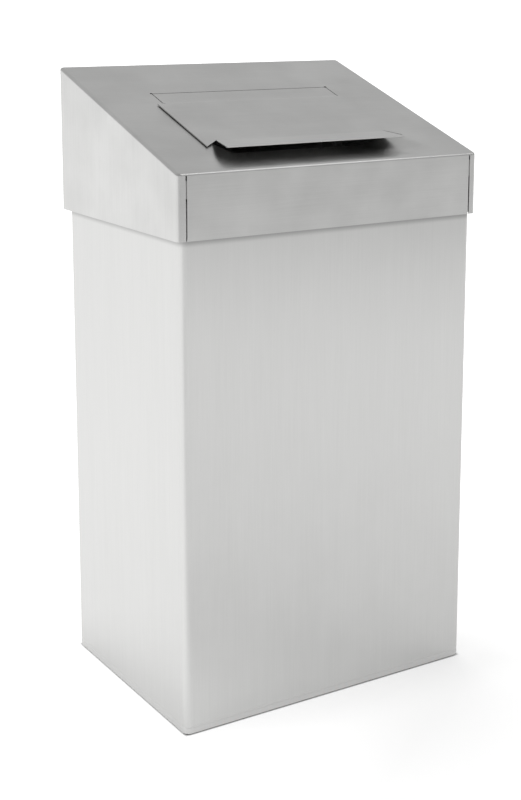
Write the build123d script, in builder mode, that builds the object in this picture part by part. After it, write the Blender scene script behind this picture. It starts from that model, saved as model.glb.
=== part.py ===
from build123d import *
import os
from math import atan2, cos, sin

# A free-standing rectangular waste bin of brushed stainless steel, under a lift-off hood with a sloping top.
# The hood's flap lies on the slope, is lifted by its front lip over a pressed finger scoop, and shuts itself.
# X is to the right, Y to the back and Z up. The origin is on the floor, under the middle of the hood.

# Body of the bin
body_width = 390.0
body_depth = 280.0
body_top_height = 600.0
body_corner_radius = 8.5
body_sheet = 1.0
body_floor_gap = 1.5
rear_seam_gap = 0.5
seam_strip_width = 30.0
seam_strip_end_gap = 2.0

# Base pan and feet
base_sheet = 1.2
base_flange_height = 18.0
foot_diameter = 26.0
foot_height = 8.0
foot_inset = 36.0
foot_edge_radius = 1.0

# Angle ring that stiffens the body's top edge
rim_sheet = 1.2
rim_leg_height = 18.0
rim_flange_width = 14.0

# Hood
hood_side_overhang = 5.0
hood_front_overhang = 2.5
hood_rear_overhang = 10.0
hood_overlap = 42.0
hood_front_panel_height = 71.5
hood_rear_panel_height = 171.0
hood_sheet = 1.0
hood_bend_radius = 3.0
hood_corner_radius = 5.0
hood_seam_gap = 1.6
hood_return_width = 10.5

# Corner straps behind the hood's open seams
strap_sheet = 1.0
strap_leg = 20.0
strap_above_rim = 3.0
front_strap_below_bend = 7.5
rear_strap_below_bend = 26.0

# Ledges and pads on which the hood rests
ledge_sheet = 1.2
ledge_end_inset = 40.0
ledge_leg_height = 16.0
ledge_reach = 13.0
pad_thickness = 1.5
pad_width = 8.0
pad_end_inset = 10.0

# Opening in the slope, measured up the slope from the front bend
opening_side_margin = 66.0
opening_front = 72.0
tongue_slot_step = 6.0
relief_hole_diameter = 3.6

# Finger scoop pressed into the slope in front of the opening
scoop_front = 4.0
scoop_depth = 16.0
scoop_end_length = 32.0
scoop_end_steps = 6

# Flap
flap_sheet = 1.2
flap_side_overlap = 3.5
flap_length = 106.5
lip_bend_inset = 1.5
notch_length = 14.5
notch_width = 19.0
lip_length = 35.0
lip_front_inset = 12.0
lip_angle = 12.7
lip_corner_radius = 3.0
joggle_length = 6.0
tongue_slot_lead = 2.0
tongue_side_gap = 1.0
flap_buffer_gap = 0.1

# Hinge rod and saddles
hinge_setback = 31.0
rod_diameter = 5.0
rod_running_clearance = 0.1
knuckle_gap = 0.8
rod_bend_radius = 6.0
rod_tail_length = 12.0
saddle_sheet = 1.5
saddle_width = 8.0
saddle_length = 30.0
saddle_end_gap = 3.0
saddle_fit = 0.05
rod_bend_gap = 3.0

# Weld studs and nuts that hold the saddles
stud_diameter = 3.0
stud_length = 7.0
stud_hole_clearance = 0.4
stud_spacing = 21.0
nut_across_flats = 5.5
nut_height = 2.4

# Flap stiffener and buffer strips
stiffener_sheet = 1.0
stiffener_end_inset = 37.5
stiffener_depth = 9.0
stiffener_crown_width = 18.0
stiffener_foot_width = 8.0
buffer_thickness = 0.8
buffer_width = 2.6
buffer_end_inset = 4.5

# Spot-welded sheets stand this far apart
weld_gap = 0.05
# Cutting tools run this far past what they cut
cut_margin = 1.0

# Places that follow from the sizes above
hood_width = body_width + 2 * hood_side_overhang
hood_depth = body_depth + hood_front_overhang + hood_rear_overhang
hood_front_y = -hood_depth / 2
hood_rear_y = hood_depth / 2
body_centre_y = hood_front_y + hood_front_overhang + body_depth / 2
body_rear_y = body_centre_y + body_depth / 2
hood_bottom_height = body_top_height - hood_overlap
front_bend_height = hood_bottom_height + hood_front_panel_height
rear_bend_height = hood_bottom_height + hood_rear_panel_height
slope = atan2(rear_bend_height - front_bend_height, hood_depth)
slope_plane = Plane(
    origin=(0, hood_front_y, front_bend_height), x_dir=(1, 0, 0), z_dir=(0, -sin(slope), cos(slope))
)
# Its local X runs up the slope and its local Y out of it, so a profile drawn here is a section of the top.
section_plane = Plane(
    origin=slope_plane.origin, x_dir=(0, cos(slope), sin(slope)), z_dir=(1, 0, 0)
)

opening_width = body_width - 2 * opening_side_margin
tongue_slot_width = opening_width - 2 * tongue_slot_step
flap_width = opening_width + 2 * flap_side_overlap
lip_bend = opening_front + lip_bend_inset
lip_bend_width = flap_width - 2 * notch_width
lip_front_width = flap_width - 2 * lip_front_inset
flap_ear_front = lip_bend - notch_length
flap_rear = lip_bend + flap_length
tongue_slot_front = flap_rear - tongue_slot_lead
hinge_distance = flap_rear + hinge_setback
stiffener_centre = (lip_bend + flap_rear) / 2
stiffener_length = flap_width - 2 * stiffener_end_inset
buffer_length = flap_rear - flap_ear_front - 2 * buffer_end_inset
tongue_width = tongue_slot_width - 2 * tongue_side_gap
knuckle_bore_radius = rod_diameter / 2 + rod_running_clearance
knuckle_radius = knuckle_bore_radius + flap_sheet
rod_depth = knuckle_radius
opening_rear = hinge_distance + knuckle_radius + knuckle_gap
flap_underside = buffer_thickness + flap_buffer_gap
saddle_inner_x = tongue_width / 2 + saddle_end_gap
saddle_outer_x = saddle_inner_x + saddle_width
rod_tail_x = saddle_outer_x + rod_bend_gap + rod_bend_radius
base_bottom = foot_height
base_flange_top = base_bottom + base_flange_height
rim_leg_bottom = body_top_height - rim_leg_height
strap_bottom = body_top_height + strap_above_rim
front_strap_height = front_bend_height - front_strap_below_bend - strap_bottom
rear_strap_height = rear_bend_height - rear_strap_below_bend - strap_bottom
ledge_bottom = body_top_height + pad_thickness
ledge_length = body_depth - 2 * ledge_end_inset
pad_length = ledge_length - 2 * pad_end_inset


def section_at(x):
    """The slope's section plane, moved sideways to x."""
    return Plane(origin=slope_plane.from_local_coords((x, 0, 0)), x_dir=section_plane.x_dir, z_dir=(1, 0, 0))


def slope_at(up, out, turn=0.0):
    """A plane along the slope, so far up it and so far out of it, turned about X by so many degrees."""
    moved = Plane(
        origin=slope_plane.from_local_coords((0, up, out)),
        x_dir=slope_plane.x_dir,
        z_dir=slope_plane.z_dir,
    )
    return moved.rotated((turn, 0, 0))


def body_outline(inset):
    """The body's rounded rectangle, drawn so far inside its outer face."""
    RectangleRounded(body_width - 2 * inset, body_depth - 2 * inset, body_corner_radius - inset)


def save(piece, name):
    """Labels a finished piece and writes its file."""
    piece.part.label = name
    export_step(piece.part, f"parts/{name}.step")


os.makedirs("parts", exist_ok=True)

# The body is one sheet wrapped to a rounded rectangle, with its butt seam down the middle of the back.
with BuildPart() as body_shell:
    with BuildSketch(Plane((0, body_centre_y, body_floor_gap))):
        body_outline(0)
        with BuildSketch(mode=Mode.PRIVATE) as inner_outline:
            body_outline(body_sheet)
        add(inner_outline.sketch, mode=Mode.SUBTRACT)
    extrude(amount=body_top_height - body_floor_gap)
    with BuildSketch(Plane((0, body_rear_y - body_sheet / 2, body_floor_gap))):
        Rectangle(rear_seam_gap, body_sheet + 2 * cut_margin)
    extrude(amount=body_top_height - body_floor_gap, mode=Mode.SUBTRACT)
save(body_shell, "body_shell")

# A strip behind the butt seam joins its two edges.
with BuildPart() as rear_seam_strip:
    strip_y = body_rear_y - body_sheet - weld_gap - body_sheet / 2
    with BuildSketch(Plane((0, strip_y, base_flange_top + seam_strip_end_gap))):
        Rectangle(seam_strip_width, body_sheet)
    extrude(amount=rim_leg_bottom - base_flange_top - 2 * seam_strip_end_gap)
save(rear_seam_strip, "rear_seam_strip")

# The base is a shallow pan whose flange stands up inside the walls.
with BuildPart() as base_pan:
    with BuildSketch(Plane((0, body_centre_y, base_bottom))):
        body_outline(body_sheet + weld_gap)
    extrude(amount=base_flange_height)
    offset(amount=-base_sheet, openings=base_pan.faces().sort_by(Axis.Z)[-1])
save(base_pan, "base_pan")

# Four rubber feet hold the walls clear of the floor.
foot_places = {
    "foot_front_left": (-1, -1),
    "foot_front_right": (1, -1),
    "foot_rear_left": (-1, 1),
    "foot_rear_right": (1, 1),
}
for foot_name, (side, end) in foot_places.items():
    foot_x = side * (body_width / 2 - foot_inset)
    foot_y = body_centre_y + end * (body_depth / 2 - foot_inset)
    with BuildPart() as foot:
        with BuildSketch(Plane((foot_x, foot_y, 0))):
            Circle(foot_diameter / 2)
        extrude(amount=foot_height)
        fillet(foot.edges().sort_by(Axis.Z)[0], radius=foot_edge_radius)
    save(foot, foot_name)

# An angle ring inside the top edge keeps the thin walls straight and gives the bag a smooth edge.
with BuildPart() as rim_frame:
    with BuildSketch(Plane((0, body_centre_y, rim_leg_bottom))):
        body_outline(body_sheet + weld_gap)
        with BuildSketch(mode=Mode.PRIVATE) as leg_inside:
            body_outline(body_sheet + weld_gap + rim_sheet)
        add(leg_inside.sketch, mode=Mode.SUBTRACT)
    extrude(amount=rim_leg_height)
    with BuildSketch(Plane((0, body_centre_y, body_top_height))):
        body_outline(body_sheet + weld_gap)
        Rectangle(
            body_width - 2 * (body_sheet + rim_flange_width),
            body_depth - 2 * (body_sheet + rim_flange_width),
            mode=Mode.SUBTRACT,
        )
    extrude(amount=-rim_sheet)
save(rim_frame, "rim_frame")

# The hood is one folded sheet: a slope with four panels bent down from it, and open seams beside the front
# and rear panels.
with BuildPart() as hood_shell:
    with BuildSketch(Plane.YZ):
        with BuildLine():
            Polyline(
                (hood_front_y, hood_bottom_height),
                (hood_front_y, front_bend_height),
                (hood_rear_y, rear_bend_height),
                (hood_rear_y, hood_bottom_height),
                close=True,
            )
        make_face()
    extrude(amount=hood_width / 2, both=True)
    upright_edges = hood_shell.edges().filter_by(Axis.Z)
    fillet(upright_edges, radius=hood_corner_radius)
    slope_face = hood_shell.faces().sort_by(Axis.Z)[-1]
    fillet(slope_face.edges(), radius=hood_bend_radius)
    offset(amount=-hood_sheet, openings=hood_shell.faces().sort_by(Axis.Z)[0])
    seam_x = hood_width / 2 - hood_return_width
    with BuildSketch(Plane((0, hood_front_y, hood_bottom_height - cut_margin))):
        with Locations((-seam_x, 0), (seam_x, 0)):
            Rectangle(hood_seam_gap, 2 * hood_sheet + cut_margin)
    extrude(amount=hood_front_panel_height + cut_margin - hood_bend_radius, mode=Mode.SUBTRACT)
    with BuildSketch(Plane((0, hood_rear_y, hood_bottom_height - cut_margin))):
        with Locations((-seam_x, 0), (seam_x, 0)):
            Rectangle(hood_seam_gap, 2 * hood_sheet + cut_margin)
    extrude(amount=hood_rear_panel_height + cut_margin - hood_bend_radius, mode=Mode.SUBTRACT)
    # The opening: a wide part under the flap and a narrower slot for its tongue, with two relief holes.
    with BuildSketch(slope_at(0, cut_margin)):
        with Locations((0, (opening_front + tongue_slot_front) / 2)):
            Rectangle(opening_width, tongue_slot_front - opening_front)
        with Locations((0, (tongue_slot_front + opening_rear) / 2)):
            Rectangle(tongue_slot_width, opening_rear - tongue_slot_front)
        with Locations((-tongue_slot_width / 2, opening_rear), (tongue_slot_width / 2, opening_rear)):
            Circle(relief_hole_diameter / 2)
        with Locations((0, (scoop_front + opening_front) / 2)):
            Rectangle(opening_width, opening_front - scoop_front)
    extrude(amount=-(hood_sheet + 2 * cut_margin), mode=Mode.SUBTRACT)
    # The scoop: its depth grows along the slope as an S curve, and from each end as a smooth step.
    ramp = [i / scoop_end_steps for i in range(scoop_end_steps + 1)]
    left_end = [(-opening_width / 2 + scoop_end_length * t, t * t * (3 - 2 * t)) for t in ramp]
    stations = left_end + [(-x, share) for x, share in reversed(left_end)]
    for x, share in stations:
        with BuildSketch(section_at(x)):
            with BuildLine():
                top = Spline(
                    (scoop_front, 0), (opening_front, -scoop_depth * share), tangents=((1, 0), (1, 0))
                )
                bottom = Spline(
                    (scoop_front, -hood_sheet),
                    (opening_front, -scoop_depth * share - hood_sheet),
                    tangents=((1, 0), (1, 0)),
                )
                Line(top @ 0, bottom @ 0)
                Line(top @ 1, bottom @ 1)
            make_face()
    loft(ruled=True)
save(hood_shell, "hood_shell")


def rounded_square(side, end, corner_x, corner_y, radius):
    """A square of one strap leg whose outer corner, near corner_x and corner_y, is rounded."""
    with Locations((side * (corner_x - strap_leg / 2), end * (corner_y - strap_leg / 2))):
        Rectangle(strap_leg, strap_leg)
    corner = sorted(vertices(), key=lambda v: v.X * side + v.Y * end)[-1]
    fillet(corner, radius=radius)


def hood_strap(side, end, height):
    """An angle behind one open seam, welded to the panel and to the side panel's return."""
    outer_x = hood_width / 2 - hood_sheet - weld_gap
    outer_y = hood_depth / 2 - hood_sheet - weld_gap
    inside_radius = hood_corner_radius - hood_sheet
    with BuildPart() as strap:
        with BuildSketch(Plane((0, 0, strap_bottom))):
            rounded_square(side, end, outer_x, outer_y, inside_radius)
            with BuildSketch(mode=Mode.PRIVATE) as hollow:
                inner_x, inner_y = outer_x - strap_sheet, outer_y - strap_sheet
                rounded_square(side, end, inner_x, inner_y, inside_radius - strap_sheet)
            add(hollow.sketch, mode=Mode.SUBTRACT)
        extrude(amount=height)
    return strap


strap_places = {
    "hood_strap_front_left": (-1, -1, front_strap_height),
    "hood_strap_front_right": (1, -1, front_strap_height),
    "hood_strap_rear_left": (-1, 1, rear_strap_height),
    "hood_strap_rear_right": (1, 1, rear_strap_height),
}
for strap_name, (side, end, height) in strap_places.items():
    save(hood_strap(side, end, height), strap_name)

# A ledge on each side panel carries the hood on the body's rim, through a rubber pad.
for side_name, side in (("left", -1), ("right", 1)):
    wall_x = side * (hood_width / 2 - hood_sheet - weld_gap)
    with BuildPart() as ledge:
        with BuildSketch(Plane((0, body_centre_y - ledge_length / 2, 0), x_dir=(1, 0, 0), z_dir=(0, -1, 0))):
            with BuildLine():
                Polyline(
                    (wall_x, ledge_bottom),
                    (wall_x, ledge_bottom + ledge_leg_height),
                    (wall_x - side * ledge_sheet, ledge_bottom + ledge_leg_height),
                    (wall_x - side * ledge_sheet, ledge_bottom + ledge_sheet),
                    (wall_x - side * ledge_reach, ledge_bottom + ledge_sheet),
                    (wall_x - side * ledge_reach, ledge_bottom),
                    close=True,
                )
            make_face()
        extrude(amount=-ledge_length)
    save(ledge, f"hood_ledge_{side_name}")

    with BuildPart() as pad:
        pad_x = side * (body_width / 2 - pad_width / 2)
        with BuildSketch(Plane((pad_x, body_centre_y, body_top_height))):
            Rectangle(pad_width, pad_length)
        extrude(amount=pad_thickness)
    save(pad, f"hood_pad_{side_name}")

# The flap is one sheet: two ears and a lip in front, and behind them a tongue joggled down into its slot.
with BuildPart() as flap_panel:
    with BuildSketch(slope_at(0, flap_underside)):
        with BuildLine():
            Polyline(
                (-flap_width / 2, flap_rear),
                (flap_width / 2, flap_rear),
                (flap_width / 2, flap_ear_front),
                (lip_bend_width / 2, lip_bend),
                (-lip_bend_width / 2, lip_bend),
                (-flap_width / 2, flap_ear_front),
                close=True,
            )
        make_face()
    extrude(amount=flap_sheet)
    with BuildSketch(slope_at(lip_bend, flap_underside, -lip_angle)) as lip:
        with BuildLine():
            Polyline(
                (-lip_bend_width / 2, 0),
                (lip_bend_width / 2, 0),
                (lip_front_width / 2, -lip_length),
                (-lip_front_width / 2, -lip_length),
                close=True,
            )
        make_face()
        fillet(lip.vertices().sort_by(Axis.Y)[:2], radius=lip_corner_radius)
    extrude(amount=flap_sheet)
    with BuildSketch(section_plane):
        with BuildLine():
            Polyline(
                (flap_rear - flap_sheet, flap_underside),
                (flap_rear - flap_sheet, flap_underside + flap_sheet),
                (flap_rear, flap_underside + flap_sheet),
                (flap_rear + joggle_length, 0),
                (hinge_distance, 0),
                (hinge_distance, -flap_sheet),
                (flap_rear + joggle_length, -flap_sheet),
                (flap_rear, flap_underside),
                close=True,
            )
        make_face()
        with Locations((hinge_distance, -rod_depth)):
            Circle(knuckle_radius)
            Circle(knuckle_bore_radius, mode=Mode.SUBTRACT)
    extrude(amount=tongue_width / 2, both=True)
save(flap_panel, "flap_panel")

# A hat section under the flap keeps the thin sheet flat.
with BuildPart() as flap_stiffener:
    crown = stiffener_crown_width / 2
    foot_end = crown + stiffener_foot_width
    seat = flap_underside - weld_gap
    with BuildSketch(section_plane):
        with BuildLine():
            Polyline(
                (stiffener_centre - foot_end, seat),
                (stiffener_centre - crown + stiffener_sheet, seat),
                (stiffener_centre - crown + stiffener_sheet, seat - stiffener_depth + stiffener_sheet),
                (stiffener_centre + crown - stiffener_sheet, seat - stiffener_depth + stiffener_sheet),
                (stiffener_centre + crown - stiffener_sheet, seat),
                (stiffener_centre + foot_end, seat),
                (stiffener_centre + foot_end, seat - stiffener_sheet),
                (stiffener_centre + crown, seat - stiffener_sheet),
                (stiffener_centre + crown, seat - stiffener_depth),
                (stiffener_centre - crown, seat - stiffener_depth),
                (stiffener_centre - crown, seat - stiffener_sheet),
                (stiffener_centre - foot_end, seat - stiffener_sheet),
                close=True,
            )
        make_face()
    extrude(amount=stiffener_length / 2, both=True)
save(flap_stiffener, "flap_stiffener")

# The rod's ends are bent down outside the saddles, so it can't slide out.
with BuildPart() as hinge_rod:
    rod_plane = Plane(
        origin=slope_plane.from_local_coords((0, hinge_distance, -rod_depth)),
        x_dir=(1, 0, 0),
        z_dir=-section_plane.x_dir,
    )
    with BuildLine(rod_plane) as rod_path:
        FilletPolyline(
            (-rod_tail_x, -rod_tail_length),
            (-rod_tail_x, 0),
            (rod_tail_x, 0),
            (rod_tail_x, -rod_tail_length),
            radius=rod_bend_radius,
        )
    with BuildSketch(rod_path.line ^ 0):
        Circle(rod_diameter / 2)
    sweep()
save(hinge_rod, "hinge_rod")


def stud_centres(side):
    """The two studs of one saddle, across the slope and up it."""
    middle = side * (saddle_inner_x + saddle_outer_x) / 2
    return [(middle, hinge_distance - stud_spacing / 2), (middle, hinge_distance + stud_spacing / 2)]


# Each saddle is a strap bent round the rod, with a foot in front of it and one behind.
for side_name, side in (("left", -1), ("right", 1)):
    with BuildPart() as saddle:
        inner_radius = rod_diameter / 2 + saddle_fit
        outer_radius = inner_radius + saddle_sheet
        seat = -hood_sheet - weld_gap
        start_x = min(side * saddle_inner_x, side * saddle_outer_x)
        with BuildSketch(section_at(start_x)):
            with Locations((hinge_distance, seat - saddle_sheet / 2)):
                Rectangle(saddle_length, saddle_sheet)
            with Locations((hinge_distance, (seat - rod_depth) / 2)):
                Rectangle(2 * outer_radius, rod_depth + seat)
            with Locations((hinge_distance, -rod_depth)):
                Circle(outer_radius)
                Circle(inner_radius, mode=Mode.SUBTRACT)
            with Locations((hinge_distance, (seat - rod_depth) / 2)):
                Rectangle(2 * inner_radius, rod_depth + seat, mode=Mode.SUBTRACT)
            with Locations((hinge_distance, seat + rod_depth / 2)):
                Rectangle(saddle_length, rod_depth, mode=Mode.SUBTRACT)
        extrude(amount=saddle_width)
        with BuildSketch(slope_at(0, 0)):
            with Locations(*stud_centres(side)):
                Circle((stud_diameter + stud_hole_clearance) / 2)
        extrude(amount=-(hood_sheet + weld_gap + saddle_sheet + cut_margin), mode=Mode.SUBTRACT)
    save(saddle, f"hinge_saddle_{side_name}")

all_studs = stud_centres(-1) + stud_centres(1)

# Studs are welded under the slope, so nothing shows on top.
with BuildPart() as saddle_studs:
    with BuildSketch(slope_at(0, -hood_sheet)):
        with Locations(*all_studs):
            Circle(stud_diameter / 2)
    extrude(amount=-stud_length)
save(saddle_studs, "saddle_studs")

with BuildPart() as saddle_nuts:
    with BuildSketch(slope_at(0, -hood_sheet - weld_gap - saddle_sheet)):
        with Locations(*all_studs):
            RegularPolygon(nut_across_flats / 2, side_count=6, major_radius=False)
            Circle(stud_diameter / 2, mode=Mode.SUBTRACT)
    extrude(amount=-nut_height)
save(saddle_nuts, "saddle_nuts")

# Rubber strips beside the opening take the flap's ears, so it shuts quietly.
for side_name, side in (("left", -1), ("right", 1)):
    with BuildPart() as buffer:
        buffer_x = side * (opening_width / 2 + flap_width / 2) / 2
        with BuildSketch(slope_at(0, 0)):
            with Locations((buffer_x, (flap_ear_front + flap_rear) / 2)):
                Rectangle(buffer_width, buffer_length)
        extrude(amount=buffer_thickness)
    save(buffer, f"flap_buffer_{side_name}")
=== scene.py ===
import bmesh
import bpy
import numpy as np
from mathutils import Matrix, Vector


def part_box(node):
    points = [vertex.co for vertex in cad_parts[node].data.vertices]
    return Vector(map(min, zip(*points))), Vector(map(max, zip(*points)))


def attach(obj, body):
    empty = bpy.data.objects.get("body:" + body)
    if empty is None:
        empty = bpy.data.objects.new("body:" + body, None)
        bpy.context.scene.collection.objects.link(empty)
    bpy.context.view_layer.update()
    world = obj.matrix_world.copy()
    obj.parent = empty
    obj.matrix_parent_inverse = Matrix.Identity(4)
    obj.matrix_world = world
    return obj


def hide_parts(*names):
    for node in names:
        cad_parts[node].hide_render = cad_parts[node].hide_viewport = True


# A free-standing waste bin of brushed stainless steel: its outer sheets, feet, finishes and studio,
# built on the frame of its CAD model.
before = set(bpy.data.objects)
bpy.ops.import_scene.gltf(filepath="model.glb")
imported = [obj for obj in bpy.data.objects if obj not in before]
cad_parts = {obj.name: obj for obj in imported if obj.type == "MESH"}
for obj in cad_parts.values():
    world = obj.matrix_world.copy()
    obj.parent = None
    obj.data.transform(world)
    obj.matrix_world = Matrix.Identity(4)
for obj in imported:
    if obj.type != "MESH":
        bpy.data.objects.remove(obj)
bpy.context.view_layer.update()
body_low, body_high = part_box("body_shell")
hood_low, hood_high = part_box("hood_shell")

bl_info = {
    "name": "Steel waste bin",
    "version": (1, 0, 0),
    "blender": (4, 5, 0),
    "location": "3D View > Sidebar > Waste Bin",
    "description": "Outer sheets, feet, finishes and studio of a brushed steel waste bin with a lift-up flap",
    "category": "Object",
}

RUBBER_FEET = ("foot_front_left", "foot_front_right", "foot_rear_left", "foot_rear_right")
RUBBER_TRIM = ("hood_pad_left", "hood_pad_right", "flap_buffer_left", "flap_buffer_right")
ZINC_PIECES = ("hinge_rod", "saddle_studs", "saddle_nuts")
REPLACED_NODES = ("body_shell", "hood_shell", "flap_panel", *RUBBER_FEET)
MERGE_DISTANCE = 1e-6
SHARP_EDGE_DEGREES = 35.0
# The size along X, Y and Z of one streak or cloud in a finish, in metres.
UPRIGHT_FINE = (0.0012, 0.0012, 0.09)
UPRIGHT_BROAD = (0.02, 0.02, 0.7)
LEVEL_FINE = (0.09, 0.0012, 0.0012)
LEVEL_BROAD = (0.5, 0.02, 0.02)
BRUSHED_CLOUD = (0.07, 0.07, 0.07)
MILL_CLOUD = (0.03, 0.03, 0.03)
MILL_PIT = (0.0008, 0.0008, 0.0008)
ZINC_GRAIN = 0.0015
RUBBER_BLOOM = (0.012, 0.012, 0.012)
RUBBER_GRAIN = (0.0006, 0.0006, 0.0006)
# The share of broad streaks against fine ones on brushed sheet.
BROAD_SHARE = 0.25
# A face counts as a side where this share or more of its outward direction lies along X.
SIDE_SHARE = 0.7
# A band of painted shade on the body under the hood's lower edge: its reach up and down from the edge's line,
# its strength and its colour.
UNDER_HOOD_SHADE_REACH = 0.008
UNDER_HOOD_SHADE_STRENGTH = 0.45
UNDER_HOOD_SHADE_COLOUR = "#4A4A4A"
# The scoop's share of the way to the opening is raised to this power, so the scoop deepens early.
SCOOP_POWER = 0.75
# The floor's glow changes along this direction, towards the back left, at these distances from the middle.
GLOW_DIRECTION = (-0.52, 0.85, 0.0)
GLOW_PLACES = (-3.6, -2.8, -0.6, -0.25, 0.03, 0.35)
# Distances past the body's edge at which the floor has none of its glow, and all of it: a painted shadow
# under the body.
UNDER_BODY_SHADOW_EDGE = (-0.0015, 0.001)
# The horizon's brightness gives way to the sky's between these heights of the direction looked in, as its Z.
HORIZON_FADE = (0.05, 0.2)


def length(name, description, default):
    """A size in metres."""
    return bpy.props.FloatProperty(
        name=name, description=description, default=default, unit="LENGTH", precision=4
    )


def point(name, description, default):
    """A point in metres, along X, Y and Z."""
    return bpy.props.FloatVectorProperty(
        name=name, description=description, default=default, unit="LENGTH"
    )


def angle(name, description, degrees):
    """An angle, given here in degrees."""
    return bpy.props.FloatProperty(
        name=name, description=description, default=np.radians(degrees), subtype="ANGLE"
    )


def amount(name, description, default):
    """A plain number, such as a share or a brightness."""
    return bpy.props.FloatProperty(name=name, description=description, default=default)


def colour(name, description, default):
    """A colour as an sRGB hex value."""
    return bpy.props.StringProperty(name=name, description=description, default=default)


class BodySizes(bpy.types.PropertyGroup):
    sheet: length("Sheet", "Thickness of the body's sheet", 0.001)
    corner_radius: length("Corner radius", "Radius of the body's upright corners", 0.0085)
    seam_gap: length("Seam gap", "Gap of the butt seam down the middle of the back", 0.0005)
    crease_height: length("Crease height", "Height of the faint crease above the lower edge", 0.0072)
    crease_depth: length("Crease depth", "How far the crease draws the sheet in", 0.0004)
    crease_width: length("Crease width", "How far the crease spreads up and down", 0.0012)


class HoodSizes(bpy.types.PropertyGroup):
    sheet: length("Sheet", "Thickness of the hood's sheet", 0.001)
    front_panel: length("Front panel", "Height of the front panel up to its bend", 0.0715)
    rear_panel: length("Rear panel", "Height of the rear panel up to its bend", 0.171)
    corner_radius: length("Corner radius", "Radius of the upright corners", 0.005)
    bend_radius: length("Bend radius", "Outer radius of the bends round the slope", 0.003)
    seam_gap: length("Seam gap", "Width of the open seams beside the front and rear panels", 0.0016)
    return_width: length("Return width", "How far the side panels return round the corners", 0.0105)


class OpeningSizes(bpy.types.PropertyGroup):
    width: length("Width", "Width of the opening under the flap", 0.258)
    front: length("Front", "Where the opening starts, up the slope from the front bend", 0.072)
    slot_width: length("Slot width", "Width of the slot for the flap's tongue", 0.246)
    slot_front: length("Slot front", "Where the tongue's slot starts, up the slope", 0.178)
    rear: length("Rear", "Where the slot ends, up the slope", 0.2152)
    relief_radius: length("Relief radius", "Radius of the holes in the slot's rear corners", 0.0018)


class ScoopSizes(bpy.types.PropertyGroup):
    front: length("Front", "Where the scoop starts, up the slope from the front bend", 0.004)
    depth: length("Depth", "Depth of the scoop at the opening", 0.0145)
    end_length: length("End length", "Length over which each end runs out", 0.046)
    flare: length("Flare", "How much further each end reaches at the scoop's front", 0.034)


class FlapSizes(bpy.types.PropertyGroup):
    sheet: length("Sheet", "Thickness of the flap's sheet", 0.0012)
    top: length("Top", "Height of the flap's upper face out of the slope", 0.0021)
    width: length("Width", "Width over the ears", 0.265)
    ear_front: length("Ear front", "Where the ears start, up the slope", 0.059)
    rear: length("Rear", "Where the ears end, up the slope", 0.18)
    lip_bend: length("Lip bend", "Where the lip bends up, up the slope", 0.0735)
    lip_bend_width: length("Lip bend width", "Width between the notches", 0.227)
    lip_length: length("Lip length", "Length of the lip from its bend", 0.035)
    lip_front_width: length("Lip front width", "Width of the lip's front edge", 0.241)
    lip_corner: length("Lip corner", "Radius of the lip's front corners", 0.003)
    lip_angle: angle("Lip angle", "How far the lip is bent up", 12.7)
    lip_bend_run: length("Lip bend run", "Length over which the lip bends up", 0.003)
    joggle: length("Joggle", "Length over which the tongue steps down into its slot", 0.006)
    tongue_width: length("Tongue width", "Width of the tongue", 0.244)
    hinge: length("Hinge", "Where the hinge rod lies, up the slope", 0.211)
    knuckle_radius: length("Knuckle radius", "Outer radius of the rolled knuckle", 0.0038)
    knuckle_corner: length("Knuckle corner", "Radius of the bend that starts the roll", 0.0013)
    roll: angle("Roll", "How far the knuckle turns round the rod", 330)


class FootSizes(bpy.types.PropertyGroup):
    edge_radius: length("Edge radius", "Radius of the lower edge", 0.001)
    groove_depth: length("Groove depth", "Depth of the groove round a foot", 0.0005)
    hollow_radius: length("Hollow radius", "Radius of the hollow under a foot", 0.005)
    hollow_depth: length("Hollow depth", "Depth of the hollow under a foot", 0.0012)


class Finishes(bpy.types.PropertyGroup):
    body_light: colour("Body, light", "Light streaks of the body's brushed sheet", "#C5C5C4")
    body_dark: colour("Body, dark", "Dark streaks of the body's brushed sheet", "#BFBFBE")
    hood_light: colour("Hood, light", "Light streaks of the hood's brushed sheet", "#C4C4C3")
    hood_dark: colour("Hood, dark", "Dark streaks of the hood's brushed sheet", "#B6B6B5")
    body_cloudiness: amount("Body, cloudiness", "Share of clouds against streaks in the body's tone", 0.5)
    hood_cloudiness: amount("Hood, cloudiness", "Share of clouds against streaks in the hood's tone", 0.7)
    inner_light: colour("Inside, light", "Light patches of the mill-finished sheets", "#B9B9B8")
    inner_dark: colour("Inside, dark", "Dark patches of the mill-finished sheets", "#A9A9A8")
    zinc_light: colour("Zinc, light", "Light grains of the zinc plating", "#B4B9BC")
    zinc_dark: colour("Zinc, dark", "Dark grains of the zinc plating", "#9BA1A6")
    rubber_light: colour("Rubber, light", "Dusty patches of the rubber", "#2A2A2A")
    rubber_dark: colour("Rubber, dark", "Clean rubber", "#1C1C1C")


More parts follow.
